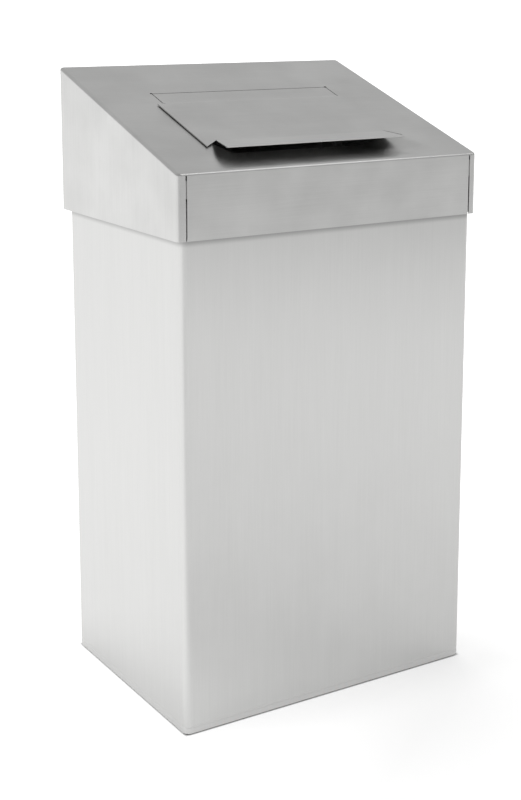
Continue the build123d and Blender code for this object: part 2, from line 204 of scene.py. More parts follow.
class Studio(bpy.types.PropertyGroup):
    floor_size: length("Floor", "Side of the pale floor", 60.0)
    floor_colour: colour("Floor colour", "Colour of the matt floor", "#F3F3F3")
    glow_far: amount("Far glow", "Light that the floor gives off far in front, on the right", 0.0)
    glow_front: amount("Front glow", "Light that the floor gives off in front, on the right", 0.68)
    glow_near: amount("Near glow", "Light that the floor gives off at the object's front", 0.43)
    glow_side: amount("Side glow", "Light that the floor gives off beside the left front corner", 0.82)
    glow_rear: amount("Rear glow", "Light that the floor gives off behind, on the left", 0.87)
    # Painted contact shadow: the floor's glow is dimmed round the object's foot.
    contact_shadow_glow: amount("Contact glow", "Share of the glow that is left at the object's foot", 0.82)
    contact_shadow_reach: length("Contact reach", "How far from the object the glow is whole again", 0.09)
    sky_front: amount("Front sky", "Brightness of the light in front", 0.4)
    sky_rear: amount("Rear sky", "Brightness of the light behind", 0.83)
    horizon_front: amount("Front horizon", "Brightness of the horizon in front", 0.48)
    horizon_rear: amount("Rear horizon", "Brightness of the horizon behind", 1.35)
    key: amount("Key", "Strength of the broad light from above, which shades the floor", 0.5)
    key_spread: angle("Key spread", "How wide the broad light is", 60)
    key_back: angle("Key, back", "How far back the broad light leans", 20)
    key_left: angle("Key, left", "How far to the left the broad light leans", 8)
    bend_power: amount("Bend light", "Watts of the panel that lights the front bend", 11.0)
    bend_width: length("Bend light, width", "Width of the panel", 1.8)
    bend_depth: length("Bend light, depth", "Depth of the panel", 1.2)
    bend_place: point("Bend light, place", "Where the panel hangs", (1.5, -1.3, 2.9))
    bend_aim: point("Bend light, aim", "What the panel points at", (0.0, -0.15, 0.63))
    camera_place: point("Camera", "Where the camera stands", (-0.9118, -1.4584, 0.8104))
    camera_turn: angle("Turn", "How far the camera looks to the right", 31.78)
    camera_tilt: angle("Tilt", "How far the camera looks down", 10.13)
    camera_lens: amount("Lens", "Focal length in millimetres", 65.3)
    camera_shift: amount("Shift", "How far the frame is lowered, as a share of its height", 0.18)


def linear(hex_value):
    """An sRGB hex value as linear red, green, blue and alpha."""
    channels = np.array([int(hex_value[i : i + 2], 16) for i in (1, 3, 5)]) / 255
    low = channels / 12.92
    high = ((channels + 0.055) / 1.055) ** 2.4
    return (*np.where(channels <= 0.04045, low, high), 1.0)


def add_node(tree, kind, inputs=None, **settings):
    """Adds one shader node. Settings are its own properties.

    Inputs are its sockets, by name or number, each with a value or with the socket that feeds it.
    """
    node = tree.nodes.new(kind)
    for name, value in settings.items():
        setattr(node, name, value)
    for socket, value in (inputs or {}).items():
        if isinstance(value, bpy.types.NodeSocket):
            tree.links.new(value, node.inputs[socket])
        else:
            node.inputs[socket].default_value = value
    return node


def new_material(name):
    """An empty material, and its tree with only an output."""
    material = bpy.data.materials.new(name)
    material.use_nodes = True
    material.node_tree.nodes.clear()
    output = add_node(material.node_tree, "ShaderNodeOutputMaterial")
    return material, material.node_tree, output


def streaks(tree, spot, cell, detail):
    """Noise stretched along the grain: cell holds the size of one streak along X, Y and Z, in metres."""
    mapped = add_node(
        tree, "ShaderNodeMapping", {"Vector": spot, "Scale": tuple(1 / side for side in cell)}
    )
    noise = add_node(
        tree, "ShaderNodeTexNoise", {"Vector": mapped.outputs["Vector"], "Scale": 1.0, "Detail": detail}
    )
    return noise.outputs["Fac"]


def brushed_steel(name, light, dark, cloudiness, across_top, hood_shadow_line=None):
    """Stainless sheet with a belt-brushed, satin face: a metal whose grain spreads each reflection across it.

    The real scratches are about 0.1 mm wide. They are drawn 1.2 mm wide, as fine as the render can show.
    The grain runs up and down, or, on a sheet whose blank was brushed across, along X on its top, front
    and rear. Round the height hood_shadow_line, a darker band is painted shade under the hood's edge.
    """
    material, tree, output = new_material(name)
    texture = add_node(tree, "ShaderNodeTexCoord")
    spot = texture.outputs["Object"]
    grain = add_node(tree, "ShaderNodeCombineXYZ", {"X": 0.0, "Y": 0.0, "Z": 1.0}).outputs["Vector"]
    fine = streaks(tree, spot, UPRIGHT_FINE, detail=3.0)
    broad = streaks(tree, spot, UPRIGHT_BROAD, detail=2.0)
    clouds = streaks(tree, spot, BRUSHED_CLOUD, detail=3.0)
    if across_top:
        level = add_node(tree, "ShaderNodeCombineXYZ", {"X": 1.0, "Y": 0.0, "Z": 0.0}).outputs["Vector"]
        level_fine = streaks(tree, spot, LEVEL_FINE, detail=3.0)
        level_broad = streaks(tree, spot, LEVEL_BROAD, detail=2.0)
        facing = add_node(tree, "ShaderNodeSeparateXYZ", {"Vector": texture.outputs["Normal"]})
        sideways = add_node(tree, "ShaderNodeMath", {0: facing.outputs["X"]}, operation="ABSOLUTE")
        side = add_node(
            tree, "ShaderNodeMath", {0: sideways.outputs["Value"], 1: SIDE_SHARE}, operation="GREATER_THAN"
        ).outputs["Value"]
        fine = add_node(
            tree, "ShaderNodeMix", {"Factor": side, "A": level_fine, "B": fine}
        ).outputs["Result"]
        broad = add_node(
            tree, "ShaderNodeMix", {"Factor": side, "A": level_broad, "B": broad}
        ).outputs["Result"]
        grain = add_node(
            tree, "ShaderNodeMix", {"Factor": side, 4: level, 5: grain}, data_type="VECTOR"
        ).outputs[1]
    both = add_node(
        tree, "ShaderNodeMix", {"Factor": BROAD_SHARE, "A": fine, "B": broad}
    ).outputs["Result"]
    tone = add_node(
        tree, "ShaderNodeMix", {"Factor": cloudiness, "A": both, "B": clouds}
    ).outputs["Result"]
    shade = add_node(tree, "ShaderNodeMapRange", {"Value": tone, "From Min": 0.35, "From Max": 0.65})
    tint = add_node(
        tree,
        "ShaderNodeMix",
        {"Factor": shade.outputs["Result"], 6: linear(dark), 7: linear(light)},
        data_type="RGBA",
    )
    # Painted shade: a darker band round this height stands for the shadow under the hood's overhang.
    if hood_shadow_line is not None:
        height = add_node(tree, "ShaderNodeSeparateXYZ", {"Vector": spot})
        from_line = add_node(
            tree, "ShaderNodeMath", {0: height.outputs["Z"], 1: hood_shadow_line}, operation="SUBTRACT"
        )
        past_line = add_node(tree, "ShaderNodeMath", {0: from_line.outputs["Value"]}, operation="ABSOLUTE")
        under_hood_shade = add_node(
            tree,
            "ShaderNodeMapRange",
            {
                "Value": past_line.outputs["Value"],
                "From Min": 0.0,
                "From Max": UNDER_HOOD_SHADE_REACH,
                "To Min": UNDER_HOOD_SHADE_STRENGTH,
                "To Max": 0.0,
            },
            interpolation_type="SMOOTHSTEP",
        )
        tint = add_node(
            tree,
            "ShaderNodeMix",
            {"Factor": under_hood_shade.outputs["Result"], 6: tint.outputs[2], 7: linear(UNDER_HOOD_SHADE_COLOUR)},
            data_type="RGBA",
        )
    gloss = add_node(
        tree,
        "ShaderNodeMapRange",
        {"Value": clouds, "From Min": 0.3, "From Max": 0.7, "To Min": 0.31, "To Max": 0.37},
    )
    relief = add_node(tree, "ShaderNodeBump", {"Strength": 0.06, "Distance": 0.0001, "Height": fine})
    shader = add_node(
        tree,
        "ShaderNodeBsdfPrincipled",
        {
            "Base Color": tint.outputs[2],
            "Metallic": 1.0,
            "Roughness": gloss.outputs["Result"],
            "Anisotropic": 0.6,
            "Anisotropic Rotation": 0.25,
            "Tangent": grain,
            "Normal": relief.outputs["Normal"],
        },
    )
    tree.links.new(shader.outputs["BSDF"], output.inputs["Surface"])
    return material


def mill_steel(name, light, dark):
    """Cold-rolled stainless sheet as it leaves the mill: even, slightly cloudy, duller than brushed sheet.

    The real pits are a few hundredths of a millimetre wide. They are drawn 0.8 mm wide, to show at all.
    """
    material, tree, output = new_material(name)
    spot = add_node(tree, "ShaderNodeTexCoord").outputs["Object"]
    clouds = streaks(tree, spot, MILL_CLOUD, detail=3.0)
    pits = streaks(tree, spot, MILL_PIT, detail=2.0)
    tint = add_node(
        tree, "ShaderNodeMix", {"Factor": clouds, 6: linear(dark), 7: linear(light)}, data_type="RGBA"
    )
    gloss = add_node(tree, "ShaderNodeMapRange", {"Value": clouds, "To Min": 0.36, "To Max": 0.48})
    relief = add_node(tree, "ShaderNodeBump", {"Strength": 0.1, "Distance": 0.0001, "Height": pits})
    shader = add_node(
        tree,
        "ShaderNodeBsdfPrincipled",
        {
            "Base Color": tint.outputs[2],
            "Metallic": 1.0,
            "Roughness": gloss.outputs["Result"],
            "Normal": relief.outputs["Normal"],
        },
    )
    tree.links.new(shader.outputs["BSDF"], output.inputs["Surface"])
    return material


def zinc_plate(name, light, dark):
    """Bright zinc electroplated on steel: bluish, fine-grained and half glossy.

    The real grains are too small to see. They are drawn 1.5 mm wide, as the plating's faint unevenness.
    """
    material, tree, output = new_material(name)
    spot = add_node(tree, "ShaderNodeTexCoord").outputs["Object"]
    grains = add_node(tree, "ShaderNodeTexVoronoi", {"Vector": spot, "Scale": 1 / ZINC_GRAIN})
    tint = add_node(
        tree,
        "ShaderNodeMix",
        {"Factor": grains.outputs["Distance"], 6: linear(dark), 7: linear(light)},
        data_type="RGBA",
    )
    gloss = add_node(
        tree, "ShaderNodeMapRange", {"Value": grains.outputs["Distance"], "To Min": 0.26, "To Max": 0.36}
    )
    shader = add_node(
        tree,
        "ShaderNodeBsdfPrincipled",
        {"Base Color": tint.outputs[2], "Metallic": 1.0, "Roughness": gloss.outputs["Result"]},
    )
    tree.links.new(shader.outputs["BSDF"], output.inputs["Surface"])
    return material


def moulded_rubber(name, light, dark):
    """Black moulded rubber: matt, with a faint bloom and the spark-eroded grain of its mould.

    The real grain is about 0.05 mm wide. It is drawn 0.6 mm wide, to show at all.
    """
    material, tree, output = new_material(name)
    spot = add_node(tree, "ShaderNodeTexCoord").outputs["Object"]
    bloom = streaks(tree, spot, RUBBER_BLOOM, detail=3.0)
    grain = streaks(tree, spot, RUBBER_GRAIN, detail=2.0)
    tint = add_node(
        tree, "ShaderNodeMix", {"Factor": bloom, 6: linear(dark), 7: linear(light)}, data_type="RGBA"
    )
    gloss = add_node(tree, "ShaderNodeMapRange", {"Value": bloom, "To Min": 0.62, "To Max": 0.8})
    relief = add_node(tree, "ShaderNodeBump", {"Strength": 0.25, "Distance": 0.0002, "Height": grain})
    shader = add_node(
        tree,
        "ShaderNodeBsdfPrincipled",
        {
            "Base Color": tint.outputs[2],
            "Roughness": gloss.outputs["Result"],
            "Normal": relief.outputs["Normal"],
        },
    )
    tree.links.new(shader.outputs["BSDF"], output.inputs["Surface"])
    return material


def matt_paper(name, tint, glow_stops, contact_shadow_glow, contact_shadow_reach):
    """Studio paper, matt and almost white, that gives off a little light of its own so that it stays pale.

    Each stop holds a distance along the glow's direction, and the light that the floor gives off there.
    The glow is painted shadow near the body: the floor gives off none under the body, and beside it the
    share that is left rises as a smooth step from contact_shadow_glow to the whole within
    contact_shadow_reach.
    A point lies as far outside the body as the larger of its distances past the sides and past the front or
    back.
    """
    material, tree, output = new_material(name)
    spot = add_node(tree, "ShaderNodeTexCoord").outputs["Object"]
    along = add_node(tree, "ShaderNodeVectorMath", {0: spot, 1: GLOW_DIRECTION}, operation="DOT_PRODUCT")
    nearest, furthest = glow_stops[0][0], glow_stops[-1][0]
    share = add_node(
        tree,
        "ShaderNodeMapRange",
        {"Value": along.outputs["Value"], "From Min": nearest, "From Max": furthest},
    )
    glow = add_node(tree, "ShaderNodeValToRGB", {"Fac": share.outputs["Result"]})
    ramp = glow.color_ramp
    for _ in glow_stops[2:]:
        ramp.elements.new(0.5)
    for element, (distance, strength) in zip(ramp.elements, glow_stops):
        element.position = (distance - nearest) / (furthest - nearest)
        element.color = (strength, strength, strength, 1.0)
    # Painted shadow: from here the floor's glow is cut under the body and dimmed beside it.
    middle, half = (body_low + body_high) / 2, (body_high - body_low) / 2
    centred = add_node(tree, "ShaderNodeVectorMath", {0: spot, 1: middle}, operation="SUBTRACT")
    apart = add_node(tree, "ShaderNodeVectorMath", {0: centred.outputs["Vector"]}, operation="ABSOLUTE")
    past = add_node(tree, "ShaderNodeVectorMath", {0: apart.outputs["Vector"], 1: half}, operation="SUBTRACT")
    sides = add_node(tree, "ShaderNodeSeparateXYZ", {"Vector": past.outputs["Vector"]})
    outside = add_node(
        tree, "ShaderNodeMath", {0: sides.outputs["X"], 1: sides.outputs["Y"]}, operation="MAXIMUM"
    ).outputs["Value"]
    uncovered = add_node(
        tree, "ShaderNodeMapRange", {"Value": outside, "From Min": UNDER_BODY_SHADOW_EDGE[0], "From Max": UNDER_BODY_SHADOW_EDGE[1]}
    )
    whole = add_node(
        tree,
        "ShaderNodeMapRange",
        {"Value": outside, "From Min": 0.0, "From Max": contact_shadow_reach, "To Min": contact_shadow_glow, "To Max": 1.0},
        interpolation_type="SMOOTHSTEP",
    )
    left = add_node(
        tree,
        "ShaderNodeMath",
        {0: whole.outputs["Result"], 1: uncovered.outputs["Result"]},
        operation="MULTIPLY",
    )
    lit = add_node(
        tree, "ShaderNodeMath", {0: glow.outputs["Color"], 1: left.outputs["Value"]}, operation="MULTIPLY"
    )
    shader = add_node(
        tree,
        "ShaderNodeBsdfPrincipled",
        {
            "Base Color": linear(tint),
            "Roughness": 0.95,
            "Specular IOR Level": 0.0,
            "Emission Color": linear(tint),
            "Emission Strength": lit.outputs["Value"],
        },
    )
    tree.links.new(shader.outputs["BSDF"], output.inputs["Surface"])
    return material


def grid_faces(rows, columns, closed):
    """The faces of a grid, as rows by columns by four corners.

    A closed grid joins its last column to its first. Each face's corners run anticlockwise with the rows
    going up.
    """
    up = np.arange(rows - 1)[:, None] * columns
    across = np.arange(columns if closed else columns - 1)[None, :]
    after = (across + 1) % columns
    return np.stack([up + across, up + after, up + columns + after, up + columns + across], axis=-1)


def put_piece(name, points, faces, material, body, nodes, sheet=0.0):
    """Makes one piece from points and four-cornered faces, and sets it on its body.

    A sheet gets its thickness inwards.
    """
    mesh = bpy.data.meshes.new(name)
    mesh.from_pydata(points.reshape(-1, 3).tolist(), [], faces.reshape(-1, 4).tolist())
    shape = bmesh.new()
    shape.from_mesh(mesh)
    bmesh.ops.remove_doubles(shape, verts=shape.verts, dist=MERGE_DISTANCE)
    loose = [vertex for vertex in shape.verts if not vertex.link_faces]
    bmesh.ops.delete(shape, geom=loose, context="VERTS")
    shape.to_mesh(mesh)
    shape.free()
    piece = bpy.data.objects.new(name, mesh)
    bpy.context.scene.collection.objects.link(piece)
    if sheet:
        wall = piece.modifiers.new("Sheet", "SOLIDIFY")
        wall.thickness = sheet
        wall.offset = -1.0
        seen = piece.evaluated_get(bpy.context.evaluated_depsgraph_get())
        piece.data = bpy.data.meshes.new_from_object(seen)
        piece.modifiers.clear()
    piece.data.materials.clear()
    piece.data.materials.append(material)
    piece.data.shade_smooth()
    piece.data.set_sharp_from_angle(angle=np.radians(SHARP_EDGE_DEGREES))
    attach(piece, body)
    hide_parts(*nodes)


def paint_nodes(names, material):
    """Gives carried-over CAD nodes a finish, and leaves their meshes alone."""
    for name in names:
        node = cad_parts[name]
        node.data.materials.clear()
        node.data.materials.append(material)


def straight(start, end, steps):
    """Values or points from start to end in even steps."""
    return np.linspace(start, end, steps + 1)


def chain(*runs):
    """Runs joined end to start, with each shared point kept once."""
    return np.concatenate([*(run[:-1] for run in runs[:-1]), runs[-1]])


def spread(stops, counts):
    """Values from stop to stop, each stretch divided evenly into its count."""
    return chain(*(straight(a, b, n) for a, b, n in zip(stops[:-1], stops[1:], counts)))


def circle(angle):
    """The directions at these angles, as cosine and sine."""
    return np.stack([np.cos(angle), np.sin(angle)], axis=-1)


def rounded_outline(low, high, radius, front_run, side_run, rear_run, turn_steps):
    """A rounded rectangle in plan, anticlockwise from the left end of its front, and its outward directions.

    Each run holds the places of the stops between a straight side's ends, and the number of steps of each
    stretch. The left side mirrors the right, and each corner is a quarter circle.
    """
    left, front = low[0] + radius, low[1] + radius
    right, rear = high[0] - radius, high[1] - radius
    front_x = spread([left, *front_run[0], right], front_run[1])
    side_y = spread([front, *side_run[0], rear], side_run[1])
    rear_x = spread([right, *rear_run[0], left], rear_run[1])
    sides = [
        (np.stack([front_x, np.full_like(front_x, low[1])], -1), (0, -1)),
        (np.stack([np.full_like(side_y, high[0]), side_y], -1), (1, 0)),
        (np.stack([rear_x, np.full_like(rear_x, high[1])], -1), (0, 1)),
        (np.stack([np.full_like(side_y, low[0]), side_y[::-1]], -1), (-1, 0)),
    ]
    turns = [
        ((right, front), -np.pi / 2),
        ((right, rear), 0.0),
        ((left, rear), np.pi / 2),
        ((left, front), np.pi),
    ]
    places, outward = [], []
    for (side, facing), (centre, start) in zip(sides, turns):
        turning = circle(start + np.linspace(0, np.pi / 2, turn_steps)[1:-1])
        places += [side, np.array(centre) + radius * turning]
        outward += [np.tile(facing, (len(side), 1)), turning]
    return np.concatenate(places), np.concatenate(outward)


def build_body(sizes, material):
    """The body's wrapped sheet: a rounded rectangle carried straight up.

    Near its lower edge a crease draws it in by depth times exp(-(height above the crease / width) squared).
    """
    half_gap = sizes.seam_gap / 2
    half_steps, side_steps, turn_steps, upright_steps = 24, 36, 12, [3, 16, 30]
    outline, outward = rounded_outline(
        body_low,
        body_high,
        sizes.corner_radius,
        ([0.0], [half_steps, half_steps]),
        ([], [side_steps]),
        ([half_gap, -half_gap], [half_steps, 1, half_steps]),
        turn_steps,
    )
    crease = body_low.z + sizes.crease_height
    reach = 3 * sizes.crease_width
    height = spread(np.array([body_low.z, crease - reach, crease + reach, body_high.z]), upright_steps)
    draw_in = sizes.crease_depth * np.exp(-(((height - crease) / sizes.crease_width) ** 2))
    flat = outline[None] - draw_in[:, None, None] * outward[None]
    points = np.concatenate([flat, np.broadcast_to(height[:, None, None], (*flat.shape[:2], 1))], axis=-1)
    faces = grid_faces(len(height), len(outline), closed=True)
    seam = np.flatnonzero(np.isclose(outline[:, 1], body_high.y) & np.isclose(outline[:, 0], half_gap))[0]
    faces = np.delete(faces, seam, axis=1)
    put_piece("body_sheet", points, faces, material, "bin", ["body_shell"], sizes.sheet)


def slope_frame(hood):
    """The slope's origin on its front bend, the direction up it and the direction out of it."""
    origin = np.array([0.0, hood_low.y, hood_low.z + hood.front_panel])
    rise = hood.rear_panel - hood.front_panel
    run = hood_high.y - hood_low.y
    up = np.array([0.0, run, rise]) / np.hypot(run, rise)
    out = np.array([0.0, -up[2], up[1]])
    return origin, up, out


def on_slope(hood, across, up_slope, out_of_slope):
    """Points in the model's frame from places across the slope, up it and out of it."""
    origin, up, out = slope_frame(hood)
    sideways = np.array([1.0, 0.0, 0.0])
    return origin + across[..., None] * sideways + up_slope[..., None] * up + out_of_slope[..., None] * out


def smooth_step(value):
    """3t squared minus 2t cubed, with t held between 0 and 1."""
    t = np.clip(value, 0, 1)
    return t * t * (3 - 2 * t)


def scoop_depth(opening, scoop, across, up_slope):
    """How deep the scoop is: one smooth step up the slope to the opening times another in from each end.

    The first is a smooth step of a power of the share of the way, and the ends flare towards the front.
    """
    share = np.clip((up_slope - scoop.front) / (opening.front - scoop.front), 0, 1)
    along = np.where(up_slope > opening.front + MERGE_DISTANCE, 0, smooth_step(share**SCOOP_POWER))
    half_width = opening.width / 2 + scoop.flare * (1 - share)
    inwards = smooth_step((half_width - np.abs(across)) / scoop.end_length)
    return scoop.depth * along * inwards


def opening_edge(opening, front_steps, side_steps, rear_steps, turn_steps):
    """The opening's edge, across and up the slope, with one point for each point of the hood's outline.

    Right side: the wide part, the step in to the slot, the slot, and the outer half of a relief hole.
    Rear: the inner quarter of each hole and the slot's end between them. The left side mirrors the right.
    All the points of one of the outline's rounded corners meet in one corner here.
    """
    half, slot_half, r = opening.width / 2, opening.slot_width / 2, opening.relief_radius
    hole = np.array([slot_half, opening.rear])
    mirror = np.array([-1.0, 1.0])
    front = straight((-half, opening.front), (half, opening.front), sum(front_steps))
    right = chain(
        straight((half, opening.front), (half, opening.slot_front), side_steps[0]),
        straight((half, opening.slot_front), (slot_half, opening.slot_front), side_steps[1]),
        straight((slot_half, opening.slot_front), (slot_half, opening.rear - r), side_steps[2]),
        hole + r * circle(straight(-np.pi / 2, 0, side_steps[3])),
        hole + r * circle(straight(0, np.pi / 2, side_steps[4])),
    )
    rear_hole = hole + r * circle(straight(np.pi / 2, np.pi, sum(rear_steps[:3])))
    slot_end = straight(rear_hole[-1], rear_hole[-1] * mirror, rear_steps[3])
    rear = chain(rear_hole, slot_end, rear_hole[::-1] * mirror)
    left = right[::-1] * mirror
    corners = [np.tile(side[-1], (turn_steps - 2, 1)) for side in (front, right, rear, left)]
    return np.concatenate([run for pair in zip((front, right, rear, left), corners) for run in pair])


def build_hood(hood, opening, scoop, material):
    """The hood's folded sheet, as closed loops up the panels, over the bends and in to the opening's edge.

    Each panel is straight up to its bend. A bend is a ball rolled inside the corner: its centre lies one
    radius in from the wall and from the slope, and the surface turns smoothly from the wall's direction to
    the slope's. On the slope the loops run in even steps to the opening, and sink by the scoop's depth.
    """
    origin, up, out = slope_frame(hood)
    seam = hood_high.x - hood.return_width
    inner, outer = seam - hood.seam_gap / 2, seam + hood.seam_gap / 2
    slot_end = opening.slot_width / 2 - 2 * opening.relief_radius
    # The side's stops stand level with the slot's, so no two of the lines that run in to the opening cross.
    before_slot, before_end = 0.004, 0.008
    levels = [
        opening.slot_front,
        opening.slot_front + before_slot,
        opening.rear - before_end,
        opening.rear,
    ]
    front_steps, side_steps, rear_steps = [4, 1, 170, 1, 4], [64, 4, 14, 6, 16], [2, 1, 12, 60, 12, 1, 2]
    turn_steps, bend_rows, slope_rows = 8, 8, 41
    outline, outward = rounded_outline(
        hood_low,
        hood_high,
        hood.corner_radius,
        ([-outer, -inner, inner, outer], front_steps),
        ([hood_low.y + level * up[1] for level in levels], side_steps),
        ([outer, inner, slot_end, -slot_end, -inner, -outer], rear_steps),
        turn_steps,
    )
    wall_facing = np.concatenate([outward, np.zeros((len(outward), 1))], axis=-1)
    inset = outline - hood.bend_radius * outward
    slope_rise = up[2] / up[1]
    centre_height = origin[2] + (inset[:, 1] - origin[1]) * slope_rise - hood.bend_radius / out[2]
    centre = np.concatenate([inset, centre_height[:, None]], axis=-1)

    # A last row close under the bend keeps the bend's shading off the wall.
    wall_rows, close_under_bend = 9, 0.995
    wall_share = np.append(np.linspace(0, 1, wall_rows)[:-1], close_under_bend)[:, None]
    wall_height = hood_low.z + wall_share * (centre_height - hood_low.z)
    walls = np.concatenate(
        [np.broadcast_to(outline, (len(wall_share), *outline.shape)), wall_height[..., None]], axis=-1
    )
    turn = np.linspace(0, 1, bend_rows)[:, None, None]
    facing = (1 - turn) * wall_facing + turn * out
    facing /= np.linalg.norm(facing, axis=-1, keepdims=True)
    bends = centre + hood.bend_radius * facing

    start = bends[-1]
    start_across = start[:, 0]
    start_up = (start - origin) @ up
    edge = opening_edge(opening, front_steps, side_steps, rear_steps, turn_steps)
    share = np.linspace(0, 1, slope_rows)[1:, None]
    across = start_across + share * (edge[:, 0] - start_across)
    up_slope = start_up + share * (edge[:, 1] - start_up)
    top = on_slope(hood, across, up_slope, -scoop_depth(opening, scoop, across, up_slope))

    points = np.concatenate([walls, bends, top])
    faces = grid_faces(len(points), len(outline), closed=True)
    faces_front_or_rear = np.isclose(np.abs(outward[:, 1]), 1)
    flat_side = faces_front_or_rear & np.roll(faces_front_or_rear, -1)
    middle = (outline[:, 0] + np.roll(outline[:, 0], -1)) / 2
    in_seam = flat_side & (np.abs(np.abs(middle) - seam) < hood.seam_gap / 4)
    keep = np.ones(faces.shape[:2], bool)
    keep[: len(walls), in_seam] = False
    put_piece(
        "hood_sheet", points, faces[keep], material, "hood", ["hood_shell"], hood.sheet
    )


def build_flap(hood, flap, material):
    """The flap's sheet: a flat panel with ears, a lip bent up in front, and a tongue rolled round the rod.

    The panel's rows run from its notched front edge to its rear in even shares. Behind them the tongue's
    rows follow one path: a smooth step down, a flat stretch past the rod, a tight bend down, and a turn
    under the rod. The lip's rows climb at an angle that grows smoothly to its full value over the bend's
    run, and its width grows evenly, less the rounding of its front corners.
    """
    across_steps, lip_steps = [5, 4, 90, 4, 5], [6, 14, 8]
    panel_rows, joggle_rows, flat_rows, bend_rows, roll_rows = 25, 9, 6, 8, 25
    ear, tongue, bend = flap.width / 2, flap.tongue_width / 2, flap.lip_bend_width / 2
    across = spread(np.array([-ear, -tongue, -bend, bend, tongue, ear]), across_steps)
    beyond = np.clip((np.abs(across) - bend) / (ear - bend), 0, 1)
    front_edge = flap.lip_bend - beyond * (flap.lip_bend - flap.ear_front)

    share = np.linspace(0, 1, panel_rows)[:, None]
    panel_up = front_edge + share * (flap.rear - front_edge)
    panel_out = np.full_like(panel_up, flap.top)
    step = np.linspace(0, 1, joggle_rows)[1:]
    path_up = flap.rear + step * flap.joggle
    path_out = flap.top * (1 - smooth_step(step))
    reach = flap.knuckle_radius - flap.knuckle_corner
    flat_up = np.linspace(flap.rear + flap.joggle, flap.hinge + reach, flat_rows)[1:]
    bend_turn = np.linspace(0, np.pi / 2, bend_rows)[1:]
    roll_turn = np.linspace(np.pi / 2, flap.roll, roll_rows)
    tail_up = np.concatenate(
        [
            path_up,
            flat_up,
            flap.hinge + reach + flap.knuckle_corner * np.sin(bend_turn),
            flap.hinge + flap.knuckle_radius * np.sin(roll_turn),
        ]
    )
    tail_out = np.concatenate(
        [
            path_out,
            np.zeros_like(flat_up),
            flap.knuckle_corner * (np.cos(bend_turn) - 1),
            flap.knuckle_radius * (np.cos(roll_turn) - 1),
        ]
    )
    tail_shape = (len(tail_up), len(across))
    up_slope = np.concatenate([panel_up, np.broadcast_to(tail_up[:, None], tail_shape)])
    out_of = np.concatenate([panel_out, np.broadcast_to(tail_out[:, None], tail_shape)])
    points = on_slope(hood, across, up_slope, out_of)
    faces = grid_faces(len(points), len(across), closed=False)
    middle = (across[1:] + across[:-1]) / 2
    keep = np.ones(faces.shape[:2], bool)
    keep[len(panel_up) - 1 :, np.abs(middle) > tongue] = False

    lip_corner_start = flap.lip_length - flap.lip_corner
    lip_stops = np.array([0.0, flap.lip_bend_run, lip_corner_start, flap.lip_length])
    lip_run = spread(lip_stops, lip_steps)
    climb = flap.lip_angle * smooth_step(lip_run / flap.lip_bend_run)
    stride = np.diff(lip_run, prepend=0.0)
    lip_up = flap.lip_bend - np.cumsum(stride * np.cos(climb))
    lip_out = flap.top + np.cumsum(stride * np.sin(climb))
    past = np.clip((lip_run - lip_corner_start) / flap.lip_corner, 0, 1)
    rounding = flap.lip_corner * (1 - np.sqrt(1 - past**2))
    half_width = bend + (flap.lip_front_width / 2 - bend) * lip_run / flap.lip_length - rounding
    lip_across = across[np.abs(across) <= bend + MERGE_DISTANCE] / bend
    lip_points = on_slope(
        hood,
        half_width[::-1, None] * lip_across,
        lip_up[::-1, None],
        lip_out[::-1, None],
    )
    before_lip = points.shape[0] * points.shape[1]
    lip_faces = grid_faces(len(lip_points), len(lip_across), closed=False) + before_lip
    all_points = np.concatenate([points.reshape(-1, 3), lip_points.reshape(-1, 3)])
    all_faces = np.concatenate([faces[keep], lip_faces.reshape(-1, 4)])
    put_piece(
        "flap_sheet", all_points, all_faces, material, "flap", ["flap_panel"], flap.sheet
    )


def build_foot(name, sizes, material):
    """One rubber foot: a profile of radius and height turned about its own upright axis."""
    low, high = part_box(name)
    radius, top = (high.x - low.x) / 2, high.z
    edge_rows, groove_rows, turn_steps = 6, 9, 48
    groove_low, groove_high = 0.35, 0.65
    edge = np.linspace(-np.pi / 2, 0, edge_rows)
    groove = low.z + np.linspace(groove_low, groove_high, groove_rows) * (top - low.z)
    groove_in = sizes.groove_depth * np.sin(np.linspace(0, np.pi, groove_rows))
    profile_radius = np.concatenate(
        [
            [0.0, sizes.hollow_radius, sizes.hollow_radius + sizes.hollow_depth],
            radius - sizes.edge_radius + sizes.edge_radius * np.cos(edge),
            radius - groove_in,
            [radius, 0.0],
        ]
    )
    profile_height = np.concatenate(
        [
            [sizes.hollow_depth, sizes.hollow_depth, 0.0],
            sizes.edge_radius * (1 + np.sin(edge)),
            groove,
            [top, top],
        ]
    )
    around = straight(0, 2 * np.pi, turn_steps)[:-1]
    points = np.stack(
        [
            (low.x + high.x) / 2 + profile_radius[:, None] * np.cos(around),
            (low.y + high.y) / 2 + profile_radius[:, None] * np.sin(around),
            np.repeat(profile_height[:, None], len(around), axis=1),
        ],
        axis=-1,
    )
    faces = grid_faces(len(points), len(around), closed=True)
    put_piece(f"rubber_{name}", points, faces, material, "bin", [name])


class BuildBody(bpy.types.Operator):
    """Builds the body's brushed sheet"""

    bl_idname = "waste_bin.build_body"
    bl_label = "Build the body"

    def execute(self, context):
        finish = context.scene.waste_bin_finishes
        steel = brushed_steel(
            "stainless_brushed_upright",
            finish.body_light,
            finish.body_dark,
            finish.body_cloudiness,
            across_top=False,
            # Painted shade under the hood's lower edge, as a darker band on the body.
            hood_shadow_line=hood_low.z,
        )
        build_body(context.scene.waste_bin_body, steel)
        return {"FINISHED"}


